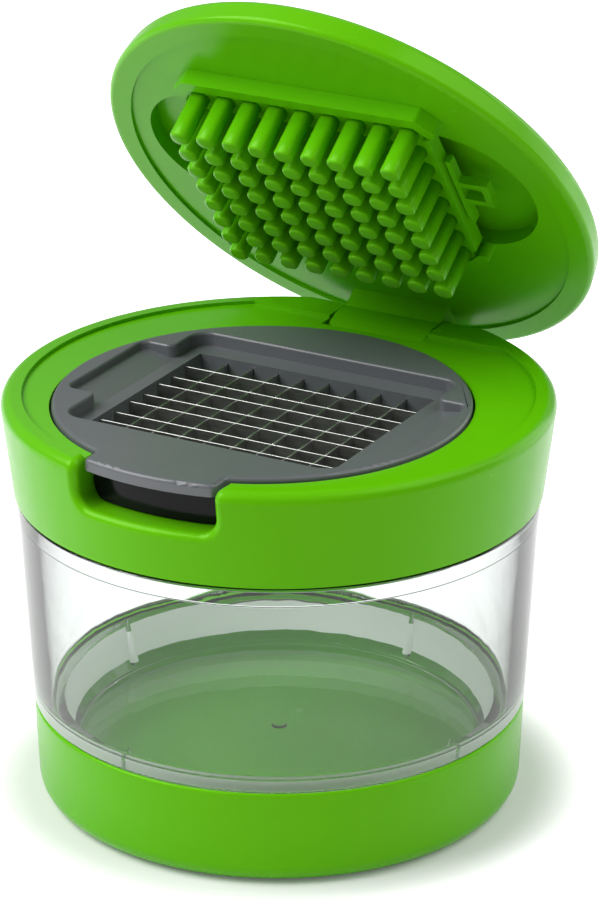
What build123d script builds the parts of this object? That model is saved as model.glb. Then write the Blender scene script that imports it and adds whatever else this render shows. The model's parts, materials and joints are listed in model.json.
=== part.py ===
from build123d import *
import math
import os

# Garlic chopper, in millimetres. The origin is the centre of the base's foot, +Z is up, the
# finger notch faces -Y and the hinge is at +Y. The lid stands open, as in use.

# Side line, from the collar's rim down to the foot
collar_rim_radius = 45.0
collar_taper = 2.0
container_inset = 0.3  # the container's top inside the collar's foot
container_taper = 2.2
base_inset = 0.1  # the base's rim inside the container's foot
base_taper = 0.7

# Base cup
base_height = 16.4
base_wall = 2.2
base_floor = 2.5
base_rounding = 3.5

# Clear container
container_height = 36.5  # shown between the base rim and the collar
container_wall = 2.7
container_floor = 2.0
container_skirt_depth = 9.4  # reaches this far down into the base
skirt_clearance = 0.4
skirt_wall = 2.4
skirt_draft = 0.5  # narrower at the floor than at the rim
foot_band = 4.0  # thick clear band above the base
shoulder_slope = 1.6
neck_height = 2.6  # stands up inside the collar
neck_clearance = 0.3
neck_wall = 1.4
bead_height = 3.0  # band under the collar
bead_proud = 0.2
floor_rounding = 1.5
seam_gap = 0.4  # shadow line at each joint of the body
seam_depth = 0.6
rib_count = 4
rib_start_angle = 78.0
rib_height = 6.8
rib_radius = 1.0
rib_tip_radius = 0.25
rib_proud = 0.9
gate_radius = 1.2
gate_height = 0.3

# Collar
collar_height = 16.3
collar_wall = 1.5
collar_rounding = 1.8
rim_width = 3.6
deck_step = 0.6
deck_thickness = 2.2
sleeve_wall = 1.8
sleeve_bottom_gap = 1.4  # between the container's neck and the sleeve

# Finger notch
notch_half_width = 12.3
notch_depth = 7.2  # below the deck
notch_corner = 3.0
notch_lip = 1.2
notch_surround = 1.5

# Blade cartridge
cartridge_y = -5.45
flange_inset = 11.3  # its edge inside the collar's rim
flange_thickness = 2.8
flange_proud = 0.8  # stands above the deck
flange_rounding = 0.7
flange_clearance = 0.4
seat_width = 1.1
skirt_fit = 0.3
retainer_wall = 1.4
retainer_floor = 0.9  # under the blades' ends
retainer_skirt_height = 9.0
apron_inset = 5.6  # front wall behind the finger notch, inside the collar's rim
apron_side_gap = 0.4
apron_gap = 0.2  # over the notch's floor
tab_half_width = 11.6
tab_thickness = 2.0
tab_inset = 2.4  # its front inside the collar's rim
tab_corner = 1.0
tab_neck = 1.2
frame_boss_wall = 2.5
frame_boss_depth = 2.3
frame_boss_corner = 4.0

# Pocket of the blade frame
pocket_side_margin = 2.6  # wider than the window
pocket_back_margin = 4.1
pocket_front_margin = 2.2
pocket_depth = 2.3
pocket_corner = 3.0
pocket_rim = 1.5  # frame left between the pocket and the flange's edge
wing_inset = 3.6  # its end inside the flange's edge
wing_front_margin = 1.8  # its corners inside the flange's edge
wing_back_margin = 0.75
wing_corner = 1.5
wing_end_gap = 0.75  # straight side left between its rounding and the pocket's
wing_edge_depth = 1.2

# Blades and cells
columns = 9
rows = 8
window_side_inset = 11.9  # the window's edge inside the flange's edge
window_end_inset = 15.3
grid_offset = -0.55  # towards the notch, from the cartridge's middle
blade_thickness = 0.3
blade_height = 5.0
blade_drop = 2.9  # blade edges below the frame's top
blade_stagger = 0.3  # every other cross blade stands lower
blade_seat = 1.5
blade_clearance = 0.05
window_margin = 0.4

# Hinge
hinge_inset = 7.2  # the axis inside the collar's rim
hinge_below_rim = 8.9
pin_radius = 1.25
pin_length = 34.0
pin_press_fit = 0.02
pin_running_fit = 0.06
lug_half_width = 9.0
lug_side_gap = 0.3
lug_front = 6.5  # ahead of the axis
lug_back = 3.2  # behind the axis
knuckle_radius = 4.0
barrel_gap = 0.4  # from the barrel to the lid's underside, and to the collar
block_width = 8.2
block_front = 3.9  # ahead of the axis

# Lid
open_angle = 53.5
lid_gap = 0.6  # above the collar's rim when closed
lid_inset = 2.2  # the lid's edge inside the collar's rim
lid_taper = 0.6
lid_edge_height = 5.0
lid_crown = 1.2
lid_rim_band = 4.2
lid_recess = 0.5
lid_edge_rounding = 1.0
lid_top_rounding = 2.0
finger_pocket_inset = 3.6  # its ends inside the rim band
finger_pocket_width = 29.0
finger_pocket_y = -4.5
finger_pocket_depth = 2.8

# Presser
presser_plate = 2.4
presser_margin = 0.5  # plate beyond the outer pins
presser_offset = -0.3  # towards the front, so that the pins swing in clear of the blades
pin_gap_across = 0.78  # from a pin's side to the blade beside it
pin_gap_along = 0.8
pin_corner = 0.8
pin_reach = 8.7
pin_tip = 0.45
rail_width = 2.0
rail_drop = 0.5
rail_gap = 0.5
rail_bend = 3.0
side_rib = 0.9
side_rib_drop = 0.4
side_rib_margin = 3.0
loop_size = 5.4
loop_opening = 3.0
loop_thickness = 1.6
loop_arm_gap = 0.45  # from the side rib, bridged by a thin web
loop_web = 0.8
loop_arm_length = 16.0

# Heights and places that follow
collar_foot_radius = collar_rim_radius - collar_taper
container_top_radius = collar_foot_radius - container_inset
container_foot_radius = container_top_radius - container_taper
base_rim_radius = container_foot_radius - base_inset
base_foot_radius = base_rim_radius - base_taper
lid_radius = collar_rim_radius - lid_inset
lid_top_radius = lid_radius - lid_taper
tab_reach = collar_rim_radius - tab_inset
hinge_y = collar_rim_radius - hinge_inset
block_chord = hinge_y - block_front
collar_bottom = base_height + container_height
rim_z = collar_bottom + collar_height
deck_z = rim_z - deck_step
notch_floor_z = deck_z - notch_depth
frame_top = deck_z + flange_proud
flange_bottom = frame_top - flange_thickness
boss_bottom = flange_bottom - frame_boss_depth
ledge_z = frame_top - pocket_depth
blade_top = frame_top - blade_drop
blade_bottom = blade_top - blade_height
retainer_bottom = blade_bottom - blade_stagger - blade_clearance - retainer_floor
flange_radius = collar_rim_radius - flange_inset
deck_hole_radius = flange_radius + flange_clearance
tab_front = math.sqrt(tab_reach**2 - tab_half_width**2)
tab_side = tab_front + cartridge_y - math.sqrt(flange_radius**2 - tab_half_width**2)
bore_radius = flange_radius - seat_width
retainer_radius = bore_radius - skirt_fit
window_half_width = flange_radius - window_side_inset
window_half_length = flange_radius - window_end_inset
grid_y = cartridge_y + grid_offset
cell_across = 2 * (window_half_width - window_margin) / columns
cell_along = 2 * (window_half_length - window_margin) / rows
pin_across = cell_across - 2 * pin_gap_across
pin_along = cell_along - 2 * pin_gap_along
pocket_half_width = window_half_width + pocket_side_margin
pocket_back = grid_y + window_half_length + pocket_back_margin
pocket_front = grid_y - window_half_length - pocket_front_margin
wing_reach = flange_radius - wing_inset
wing_back_room = math.sqrt((flange_radius - wing_back_margin) ** 2 - wing_reach**2)
wing_front_room = math.sqrt((flange_radius - wing_front_margin) ** 2 - wing_reach**2)
wing_end_room = pocket_corner + wing_corner + wing_end_gap
wing_back = min(cartridge_y + wing_back_room, pocket_back - wing_end_room)
wing_front = max(cartridge_y - wing_front_room, pocket_front + wing_end_room)
finger_pocket_half_length = lid_radius - lid_rim_band - finger_pocket_inset
hinge_z = rim_z - hinge_below_rim
lid_z = rim_z + lid_gap
lid_inner_z = lid_z + lid_recess
barrel_radius = lid_z - hinge_z - barrel_gap
plate_bottom = lid_inner_z - presser_plate
pins_y = grid_y + presser_offset
neck_top = collar_bottom + neck_height
sleeve_bottom = neck_top + sleeve_bottom_gap
reach = 4 * collar_rim_radius  # longer than the object, for cuts that run right through
wall_share = 0.4  # of a short wall, the most that the rounding at one end takes

UP = (Align.CENTER, Align.CENTER, Align.MIN)
DOWN = (Align.CENTER, Align.CENTER, Align.MAX)
FORWARD = (Align.CENTER, Align.MAX)


def turned(*corners):
    """Solid of revolution about Z, from corners of radius, height and rounding."""
    face = make_face(Polyline(*[(r, z) for r, z, _ in corners], close=True))
    for r, z, rounding in corners:
        if rounding:
            face = fillet(face.vertices().sort_by_distance((r, z, 0))[0], rounding)
    return revolve(Plane.XZ * face, Axis.Z)


def upright(x, y, z, sketch, height):
    """Sketch raised from height z at the place x, y."""
    return Pos(x, y, z) * extrude(sketch, height)


def across(y, z, sketch, half_width):
    """Sketch in the side view, drawn from y and z, made solid to both sides of the middle."""
    return Pos(0, y, z) * extrude(Plane.YZ * sketch, half_width, both=True)


def column_places():
    """Middles of the cell columns, from left to right."""
    return [(i - (columns - 1) / 2) * cell_across for i in range(columns)]


def row_places():
    """Middles of the cell rows, from front to back, measured from the grid's middle."""
    return [(i - (rows - 1) / 2) * cell_along for i in range(rows)]


def long_blade_places():
    """Places of the front-to-back blades, between the columns."""
    return [x + cell_across / 2 for x in column_places()[:-1]]


def cross_blade_places():
    """Places of the left-to-right blades, between the rows."""
    return [y + cell_along / 2 for y in row_places()[:-1]]


def cross_blade_drop(index):
    """Every other cross blade stands a little lower."""
    return blade_stagger * (index % 2)


def swung_open(part):
    """The lid's pieces are drawn closed and swing open about the hinge pin."""
    axis = Pos(0, hinge_y, hinge_z)
    return axis * Rot(X=-open_angle) * axis.inverse() * part


def base_cup():
    inner_rim = base_rim_radius - base_wall
    inner_foot = base_foot_radius - base_wall
    return turned(
        (0, 0, 0),
        (base_foot_radius, 0, base_rounding),
        (base_rim_radius, base_height, 0),
        (inner_rim, base_height, 0),
        (inner_foot, base_floor, 0),
        (0, base_floor, 0),
    )


def container_wall_radius(z):
    """Inside radius of the clear wall at a height."""
    low = base_height + foot_band
    share = (z - low) / (neck_top - low)
    top = collar_foot_radius - collar_wall - neck_clearance - neck_wall
    foot = container_foot_radius - container_wall
    return foot + share * (top - foot)


def container():
    neck_radius = collar_foot_radius - collar_wall - neck_clearance
    skirt_radius = base_rim_radius - base_wall - skirt_clearance
    skirt_bottom = base_height - container_skirt_depth
    floor_z = skirt_bottom + container_floor
    band_z = base_height + foot_band
    body = turned(
        (0, skirt_bottom, 0),
        (skirt_radius - skirt_draft, skirt_bottom, 0),
        (skirt_radius, base_height, 0),
        (container_foot_radius - seam_depth, base_height, 0),
        (container_foot_radius - seam_depth, base_height + seam_gap, 0),
        (container_foot_radius, base_height + seam_gap, 0),
        (container_top_radius - bead_proud, collar_bottom - seam_gap - bead_height, 0),
        (container_top_radius, collar_bottom - seam_gap - bead_height, 0),
        (container_top_radius, collar_bottom - seam_gap, 0),
        (container_top_radius - seam_depth, collar_bottom - seam_gap, 0),
        (container_top_radius - seam_depth, collar_bottom, 0),
        (neck_radius, collar_bottom, 0),
        (neck_radius, neck_top, 0),
        (container_wall_radius(neck_top), neck_top, 0),
        (container_wall_radius(band_z), band_z, 0),
        (skirt_radius - skirt_wall, band_z - shoulder_slope, 0),
        (skirt_radius - skirt_wall - skirt_draft, floor_z, floor_rounding),
        (0, floor_z, 0),
    )
    gate = Pos(0, 0, floor_z) * Cylinder(gate_radius, gate_height, align=UP)
    turns = [Rot(Z=rib_start_angle + i * 360 / rib_count) for i in range(rib_count)]
    return body + [turn * container_rib(band_z) for turn in turns] + gate


def container_rib(band_z):
    """Teardrop rib on the inside of the wall, standing on the thick band."""
    foot = Pos(0, rib_radius) * Circle(rib_radius)
    tip = Pos(0, rib_height - rib_tip_radius) * Circle(rib_tip_radius)
    outline = make_hull(foot.edges() + tip.edges())
    inside = container_wall_radius(band_z) - rib_proud
    return Pos(inside, 0, band_z - shoulder_slope / 2) * extrude(Plane.YZ * outline, 2 * rib_proud)


def notch_cut():
    """Finger notch in front, open at the top, with rounded lower corners."""
    opening = RectangleRounded(2 * notch_half_width, 2 * collar_height, notch_corner)
    outward = extrude(Plane.XZ * opening, reach)
    inner = cartridge_y - math.sqrt(bore_radius**2 - notch_half_width**2) + sleeve_wall
    return Pos(0, inner, notch_floor_z + collar_height) * outward


def on_notch_lip(edge):
    """Whether an edge runs round the notch on the outside of the collar or on its rim."""
    middle = edge @ 0.5
    out = math.hypot(middle.X, middle.Y)
    side = collar_foot_radius + (middle.Z - collar_bottom) / collar_height * collar_taper
    in_front = middle.Y < cartridge_y and abs(middle.X) < notch_half_width + notch_lip / 2
    on_skin = out > side - collar_wall / 2 or middle.Z > rim_z - deck_step / 2
    return in_front and on_skin and middle.Z > collar_bottom + notch_surround


def hinge_slot():
    """Room for the lug: a round cavity under the deck, open above and behind."""
    half_width = lug_half_width + lug_side_gap
    below = knuckle_radius + barrel_gap
    corner = Rectangle(reach, reach, align=(Align.MIN, Align.MIN))
    cavity = Circle(barrel_radius + barrel_gap) & Pos(-reach / 2, -below) * corner
    above = Pos(-lug_front - lug_side_gap, 0) * corner
    behind = Pos(0, -below) * corner
    return across(hinge_y, hinge_z, cavity + above + behind, half_width)


def hinge_relief():
    """What the lid's underside sweeps behind the hinge as it swings up."""
    swept = Rectangle(reach, reach, align=(Align.MIN, Align.MIN)) - Circle(barrel_radius)
    return across(hinge_y, hinge_z, swept, reach)


def collar():
    inner_foot = collar_foot_radius - collar_wall
    inner_top = collar_rim_radius - collar_wall
    outside = turned(
        (0, collar_bottom, 0),
        (collar_foot_radius, collar_bottom, 0),
        (collar_rim_radius, rim_z, collar_rounding),
        (0, rim_z, 0),
    )
    hollow = turned(
        (0, collar_bottom, 0),
        (inner_foot, collar_bottom, 0),
        (inner_top, rim_z, 0),
        (0, rim_z, 0),
    )
    below_deck = Pos(0, 0, rim_z - deck_step - deck_thickness)
    hollow &= below_deck * Cylinder(reach, reach, align=DOWN)
    sleeve = upright(0, cartridge_y, sleeve_bottom, Circle(deck_hole_radius + sleeve_wall), reach)
    block_span = 2 * (lug_half_width + lug_side_gap + block_width)
    block_bottom = neck_top + barrel_gap
    blocks = upright(0, hinge_y, block_bottom, Rectangle(block_span, hinge_y), reach)
    surround_width = 2 * (notch_half_width + notch_surround)
    surround_plan = Rectangle(surround_width, reach, align=FORWARD)
    surround = upright(0, cartridge_y, notch_floor_z - notch_surround, surround_plan, reach)
    body = outside - (hollow - sleeve - blocks - surround)
    body -= upright(0, cartridge_y, flange_bottom, Circle(deck_hole_radius), reach)
    body -= upright(0, cartridge_y, collar_bottom, Circle(bore_radius), reach)
    body -= notch_cut()
    body = fillet(body.edges().filter_by(on_notch_lip), notch_lip)
    before_blocks = Pos(0, block_chord) * Rectangle(reach, reach, align=FORWARD)
    recess = Circle(collar_rim_radius - rim_width) & before_blocks
    body -= upright(0, 0, deck_z, recess, reach)
    body -= hinge_relief()
    body -= hinge_slot()
    hole = Cylinder(pin_radius + pin_press_fit, reach, rotation=(0, 90, 0), align=UP)
    return body - Pos(-pin_length / 2, hinge_y, hinge_z) * hole


def hinge_pin():
    pin = Cylinder(pin_radius, pin_length, rotation=(0, 90, 0))
    return Pos(0, hinge_y, hinge_z) * chamfer(pin.edges(), pin_radius / 4)


def pocket_outline():
    """Plan of the clove pocket: a rounded block with a wing on either side."""
    block = RectangleRounded(2 * pocket_half_width, pocket_back - pocket_front, pocket_corner)
    wings = Rectangle(2 * wing_reach, wing_back - wing_front)
    plan = Pos(0, (pocket_back + pocket_front) / 2) * block
    plan &= Pos(0, cartridge_y) * Circle(flange_radius - pocket_rim)
    plan += Pos(0, (wing_back + wing_front) / 2) * wings
    corners = plan.vertices().filter_by_position(Axis.Y, wing_front, wing_back)
    return fillet(corners, wing_corner)


def wing_ramp():
    """Wedge under a wing, whose floor slopes down to the window."""
    edge_z = frame_top - wing_edge_depth
    slope = (edge_z - ledge_z) / (wing_reach - pocket_half_width)
    corner = (wing_reach + wing_inset, edge_z + slope * wing_inset)
    profile = Polyline((pocket_half_width, ledge_z), corner, (corner[0], ledge_z), close=True)
    return extrude(Plane.XZ * make_face(profile), reach, both=True)


def clove_pocket():
    """What is cut out of the frame above the window."""
    ramp = wing_ramp()
    return upright(0, 0, ledge_z, pocket_outline(), reach) - ramp - mirror(ramp, Plane.YZ)


def blade_slots():
    """Slots that hold the blades' ends, shared by both halves of the cartridge."""
    width = blade_thickness + 2 * blade_clearance
    height = blade_height + 2 * blade_clearance
    cross_length = 2 * (window_half_width + blade_seat + blade_clearance)
    long_length = 2 * (window_half_length + blade_seat + blade_clearance)
    bottom = blade_bottom - blade_clearance
    slots = []
    for i, y in enumerate(cross_blade_places()):
        slot = Box(cross_length, width, height, align=UP)
        slots.append(Pos(0, grid_y + y, bottom - cross_blade_drop(i)) * slot)
    for x in long_blade_places():
        slot = Box(width, long_length, height, align=UP)
        slots.append(Pos(x, grid_y, bottom - blade_stagger) * slot)
    return slots


def window():
    return Rectangle(2 * window_half_width, 2 * window_half_length)


def boss_outline():
    """Rounded block round the window, kept inside the retainer's skirt."""
    wall = frame_boss_wall
    block = RectangleRounded(
        2 * (window_half_width + wall), 2 * (window_half_length + wall), frame_boss_corner
    )
    room = Pos(0, cartridge_y - grid_y) * Circle(retainer_radius - retainer_wall - skirt_fit)
    return block & room


def blade_frame():
    ring = upright(0, cartridge_y, flange_bottom, Circle(flange_radius), flange_thickness)
    tab_outline = Circle(tab_reach) & Pos(0, -tab_reach) * Rectangle(
        2 * tab_half_width, 2 * (tab_reach + cartridge_y - flange_radius / 2)
    )
    plan = Pos(0, cartridge_y) * Circle(flange_radius) + tab_outline
    plan = fillet(plan.vertices().group_by(Axis.Y)[1], min(tab_neck, wall_share * tab_side))
    plan = fillet(plan.vertices().group_by(Axis.Y)[0], min(tab_corner, wall_share * tab_side))
    tab = upright(0, 0, frame_top - tab_thickness, plan, tab_thickness)
    body = ring + tab
    body = fillet(body.edges().group_by(Axis.Z)[-1], flange_rounding)
    body += upright(0, grid_y, boss_bottom, boss_outline(), flange_bottom - boss_bottom)
    body -= clove_pocket()
    body -= upright(0, grid_y, boss_bottom, window(), reach)
    return body - blade_slots()


def blade_retainer():
    skirt_bottom = flange_bottom - retainer_skirt_height
    plate = upright(0, cartridge_y, retainer_bottom, Circle(retainer_radius), boss_bottom - retainer_bottom)
    ring = Circle(retainer_radius) - Circle(retainer_radius - retainer_wall)
    body = plate + upright(0, cartridge_y, skirt_bottom, ring, retainer_skirt_height)
    body -= upright(0, grid_y, skirt_bottom, window(), reach)
    return body - blade_slots() + retainer_apron()


def retainer_apron():
    """Black front wall under the tab, which closes the finger notch at the back."""
    bottom = notch_floor_z + apron_gap
    height = flange_bottom - bottom
    width = 2 * (notch_half_width - apron_side_gap)
    plan = Circle(collar_rim_radius - apron_inset)
    plan -= Pos(0, cartridge_y) * Circle(retainer_radius - retainer_wall / 2)
    plan &= Pos(0, cartridge_y) * Rectangle(reach, reach, align=FORWARD)
    block = RectangleRounded(width, 2 * height, notch_corner - apron_side_gap)
    outline = Pos(0, 0, bottom + height) * extrude(Plane.XZ * block, reach)
    return upright(0, 0, bottom, plan, height) & outline


def cross_blade(index):
    """Left-to-right blade, notched from below where the long blades cross."""
    y = grid_y + cross_blade_places()[index]
    top = blade_top - cross_blade_drop(index)
    blade = Box(2 * (window_half_width + blade_seat), blade_thickness, blade_height, align=UP)
    blade = Pos(0, y, top - blade_height) * blade
    lap = blade_top - blade_stagger - blade_height / 2 + blade_clearance
    for x in long_blade_places():
        width = blade_thickness + 2 * blade_clearance
        notch = Box(width, width, reach, align=DOWN)
        blade -= Pos(x, y, lap) * notch
    return blade


def long_blade(index):
    """Front-to-back blade, notched from above where the cross blades pass."""
    x = long_blade_places()[index]
    top = blade_top - blade_stagger
    blade = Box(blade_thickness, 2 * (window_half_length + blade_seat), blade_height, align=UP)
    blade = Pos(x, grid_y, top - blade_height) * blade
    for y in cross_blade_places():
        width = blade_thickness + 2 * blade_clearance
        blade -= Pos(x, grid_y + y, top - blade_height / 2) * Box(width, width, reach, align=UP)
    return blade


def lid_shell():
    edge_z = lid_z + lid_edge_height
    outline = [
        (0, lid_inner_z),
        (lid_radius - lid_rim_band, lid_inner_z),
        (lid_radius - lid_rim_band, lid_z),
        (lid_radius, lid_z),
        (lid_top_radius, edge_z),
    ]
    middle = (0, edge_z + lid_crown)
    crown = TangentArc(middle, (lid_top_radius, edge_z), tangent=(1, 0))
    face = make_face([Polyline(*outline), crown, Line(middle, (0, lid_inner_z))])
    face = fillet(face.vertices().sort_by_distance((lid_radius, lid_z, 0))[0], lid_edge_rounding)
    face = fillet(face.vertices().sort_by_distance((lid_top_radius, edge_z, 0))[0], lid_top_rounding)
    return revolve(Plane.XZ * face, Axis.Z)


def lid_lug():
    """Hinge lug: a barrel about the pin that the collar's deck closes over, and its web to the lid."""
    barrel = Circle(barrel_radius) & Rectangle(reach, reach, align=(Align.MAX, Align.MIN))
    web = Pos(-lug_front, 0) * Rectangle(
        lug_front + lug_back, lid_inner_z - hinge_z, align=(Align.MIN, Align.MIN)
    )
    return across(hinge_y, hinge_z, barrel + web + Circle(knuckle_radius), lug_half_width)


def lid():
    pocket = SlotOverall(2 * finger_pocket_half_length, finger_pocket_width)
    body = lid_shell() - upright(0, finger_pocket_y, lid_inner_z, pocket, finger_pocket_depth)
    body += lid_lug()
    hole = Cylinder(pin_radius + pin_running_fit, reach, rotation=(0, 90, 0))
    return swung_open(body - Pos(0, hinge_y, hinge_z) * hole)


def presser_pin():
    """One pin, pointing down from the plate, with bevelled corners and tip."""
    corner = min(pin_corner, wall_share * pin_across, wall_share * pin_along)
    section = chamfer(Rectangle(pin_across, pin_along).vertices(), corner)
    shaft = extrude(section, -(pin_reach - pin_tip))
    tip_face = shaft.faces().sort_by(Axis.Z)[0]
    return shaft + extrude(tip_face, pin_tip, taper=45)


def presser_rail(bend):
    """End rail with both ends bent back by 45 degrees."""
    half = (columns - 1) / 2 * cell_across + pin_across / 2
    knee = rail_bend / math.sqrt(2)
    rail = SlotCenterToCenter(2 * half, rail_width)
    for side in (-1, 1):
        rail += Pos(side * (half + knee / 2), bend * knee / 2) * SlotCenterToCenter(
            rail_bend, rail_width, rotation=side * bend * 45
        )
    return rail


def snap_loop():
    """Thin arm along one side of the plate, with a square loop outside it."""
    loop = Rectangle(loop_size, loop_size) - Rectangle(loop_opening, loop_opening)
    return Rectangle(side_rib, loop_arm_length) + Pos(loop_size / 2, 0) * loop


def presser():
    half_width = (columns - 1) / 2 * cell_across + pin_across / 2 + presser_margin
    half_length = (rows - 1) / 2 * cell_along + pin_along / 2 + presser_margin
    plate = Rectangle(2 * half_width, 2 * half_length)
    body = upright(0, pins_y, plate_bottom, plate, presser_plate)
    rail_y = half_length - presser_margin + rail_gap + rail_width / 2
    for side in (-1, 1):
        rail = presser_rail(-side)
        rail_height = presser_plate + rail_drop
        body += upright(0, pins_y + side * rail_y, plate_bottom - rail_drop, rail, rail_height)
        rib = Rectangle(side_rib, 2 * (half_length - side_rib_margin))
        rib_x = side * (half_width + side_rib / 2)
        rib_height = presser_plate + side_rib_drop
        body += upright(rib_x, pins_y, plate_bottom - side_rib_drop, rib, rib_height)
        loop = snap_loop() if side > 0 else mirror(snap_loop(), Plane.YZ)
        arm_x = half_width + 1.5 * side_rib + loop_arm_gap
        body += upright(side * arm_x, pins_y, lid_inner_z - loop_thickness, loop, loop_thickness)
        web = Rectangle(2 * (arm_x - half_width), loop_arm_length)
        body += upright(side * half_width, pins_y, lid_inner_z - loop_web, web, loop_web)
    pin = presser_pin()
    places = [(x, pins_y + y) for x in column_places() for y in row_places()]
    return swung_open(body + [Pos(x, y, plate_bottom) * pin for x, y in places])


def all_nodes():
    nodes = {
        "base_cup": base_cup(),
        "container": container(),
        "collar": collar(),
        "blade_frame": blade_frame(),
        "blade_retainer": blade_retainer(),
        "hinge_pin": hinge_pin(),
        "lid": lid(),
        "presser": presser(),
    }
    for i in range(rows - 1):
        nodes[f"cross_blade_{i + 1}"] = cross_blade(i)
    for i in range(columns - 1):
        nodes[f"long_blade_{i + 1}"] = long_blade(i)
    return nodes


os.makedirs("parts", exist_ok=True)
for name, solid in all_nodes().items():
    export_step(solid, f"parts/{name}.step")
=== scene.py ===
import json
import math

import bmesh
import bpy
from mathutils import Matrix, Vector


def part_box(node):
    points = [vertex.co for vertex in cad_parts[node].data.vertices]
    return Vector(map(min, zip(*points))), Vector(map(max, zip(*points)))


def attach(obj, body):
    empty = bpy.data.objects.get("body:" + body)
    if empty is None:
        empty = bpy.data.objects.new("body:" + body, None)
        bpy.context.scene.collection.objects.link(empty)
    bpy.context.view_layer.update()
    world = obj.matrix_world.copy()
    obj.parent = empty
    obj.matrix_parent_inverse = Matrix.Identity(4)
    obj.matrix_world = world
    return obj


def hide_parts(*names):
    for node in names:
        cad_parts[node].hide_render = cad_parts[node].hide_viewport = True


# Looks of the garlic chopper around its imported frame. Sizes here are in millimetres.
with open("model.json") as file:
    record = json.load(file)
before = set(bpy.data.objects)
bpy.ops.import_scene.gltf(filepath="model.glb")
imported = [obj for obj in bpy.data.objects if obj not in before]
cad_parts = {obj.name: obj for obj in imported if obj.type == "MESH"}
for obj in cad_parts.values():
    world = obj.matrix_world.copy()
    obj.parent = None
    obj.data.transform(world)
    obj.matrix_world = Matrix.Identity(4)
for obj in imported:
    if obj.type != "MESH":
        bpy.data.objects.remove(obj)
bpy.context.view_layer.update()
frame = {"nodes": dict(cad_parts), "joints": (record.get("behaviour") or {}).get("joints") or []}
MM = 0.001

# Camera
camera_azimuth = 29.06  # degrees, to the right of the finger notch
camera_elevation = 22.07
camera_distance = 713.0
camera_target = (2.902, 1.778, 57.83)
image_height = 907
focal_length = 4403.0  # in pixels of that image
sensor = 36.0

# Studio
sky_light = 0.22  # on the object
sky_gloss = 0.3  # as the gloss shows it
sky_inside = 1.0  # on what stands inside clear walls
floor_half_size = 3000.0
floor_near = 41.0  # the table shows its shadow up to here
floor_far = 56.0  # and is plain white from here on
glow_near = 0.1
glow_far = 0.95
glow_gloss = 0.6  # of that glow shows in the gloss
glow_through = 0.5  # seen through clear plastic
dark_from = 8.0  # degrees up, the room seen through clear plastic darkens from here
dark_to = 18.0  # and is darkest from here on
dark_level = 0.12  # there, and where the plastic throws the view back inside itself
wall_faces = 2.0  # surfaces that light crosses in one clear wall
count_tolerance = 0.5  # on that count
lamp_distance = 800.0
lamp_size = 600.0

# Colours
green = "#68C30A"
green_deep = "#5DBB05"
green_gloss = "#A5E060"
clear = "#FAFCFC"
grey = "#686B6E"
grey_deep = "#5B5E62"
black = "#0C0D0D"
black_soft = "#151617"
steel = "#D2D2D0"
steel_dark = "#9E9E9C"
# painted white for the band inside the clear skirt, standing in for bright light seen through the wall where
# the cup behind is in green shade
painted_light_white = "#FBFBFB"
painted_light_white_deep = "#F3F4F4"
white = "#FFFFFF"
table = "#EAEAEA"

# Sizes of the patterns in the finishes
tone_size = 30.0  # slow drift of tone over a moulding
tone_detail = 3.0
gloss_size = 6.0
gloss_detail = 4.0
grain_detail = 2.0
flow_size = 9.0  # waves where the clear plastic flowed into its mould
flow_depth = 0.02
flow_detail = 2.0
rolled_size = 4.0  # rolling lines, drawn coarser than they are so that they show
rolled_stretch = 14.0  # times as long as they are high
rolled_detail = 3.0
rolled_smooth = 0.3
rolled_rough = 0.42

# Base cup
base_taper = 0.7
base_wall = 2.2
base_floor = 2.5
base_rounding = 3.5
base_rim_rounding = 0.45
base_floor_rounding = 1.0

# Clear container
container_taper = 2.2
container_wall = 2.7
container_floor = 3.0
well_inset = 1.8  # the floor's edge inside the skirt's inner wall
well_slope = 0.9  # leans out this far up to the band painted white in place of light seen through the clear skirt
band_foot = 1.9  # the band painted white in place of light seen through the clear skirt begins this far above the floor
skirt_clearance = 0.4
skirt_wall = 2.4
skirt_draft = 0.5
foot_band = 2.6
shoulder_slope = 1.3
neck_inset = 1.5
neck_wall = 1.4
bead_height = 3.0
bead_proud = 0.15
bead_draft = 0.2
floor_rounding = 0.8
underside_rounding = 0.5
seat_rounding = 0.2  # where it rests on the base's rim
seam_rounding = 0.1
foot_rounding = 0.5
bead_rounding = 0.3
lip_rounding = 0.4
shoulder_rounding = 0.6
band_rounding = 0.3
seam_gap = 0.4
seam_depth = 0.6
rib_count = 4
rib_start = 78.0  # degrees
rib_radius = 1.0
rib_height = 8.4
rib_taper = 0.55
rib_foot = 1.4  # its round foot above the floor
rib_inset = 0.3  # inside the skirt's inner wall
rib_segments = 24
rib_rings = 16
gate_radius = 1.2
gate_height = 0.3
gate_foot_rounding = 0.2
gate_rounding = 0.1

# Lid and presser, drawn closed
lid_gap = 0.6
lid_recess = 0.5
presser_plate = 2.4
presser_margin = 0.5
presser_offset = -0.3
pin_gap_across = 0.78
pin_gap_along = 0.8
pin_reach = 8.7
pin_rounding = 1.15
pin_rounding_steps = 3
pin_tip = 0.42
pin_tip_steps = 3
rail_width = 2.0
rail_drop = 0.5
rail_gap = 0.5
rail_bend = 3.0
side_rib = 0.9
side_rib_drop = 0.4
side_rib_margin = 3.0
loop_size = 5.4
loop_opening = 3.0
loop_thickness = 1.6
loop_arm_gap = 0.45
loop_web = 0.8
loop_arm_length = 16.0
presser_rounding = 0.3

# Finish of the edges
round_segments = 192
arc_steps = 5
weld = 0.002  # a node's triangles share corners closer than this
flat_angle = 0.4  # degrees, faces closer than this are one plane
edge_angle = 32.0  # degrees, sharper edges get rounded
edge_steps = 2
lip_steps = 3
top_tolerance = 0.02  # corners this close to the highest plane lie in it
collar_edge = 0.25
lid_edge = 0.3
frame_edge = 0.2
pocket_lip = 0.5
retainer_edge = 0.2
blade_edge = 0.1


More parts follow.
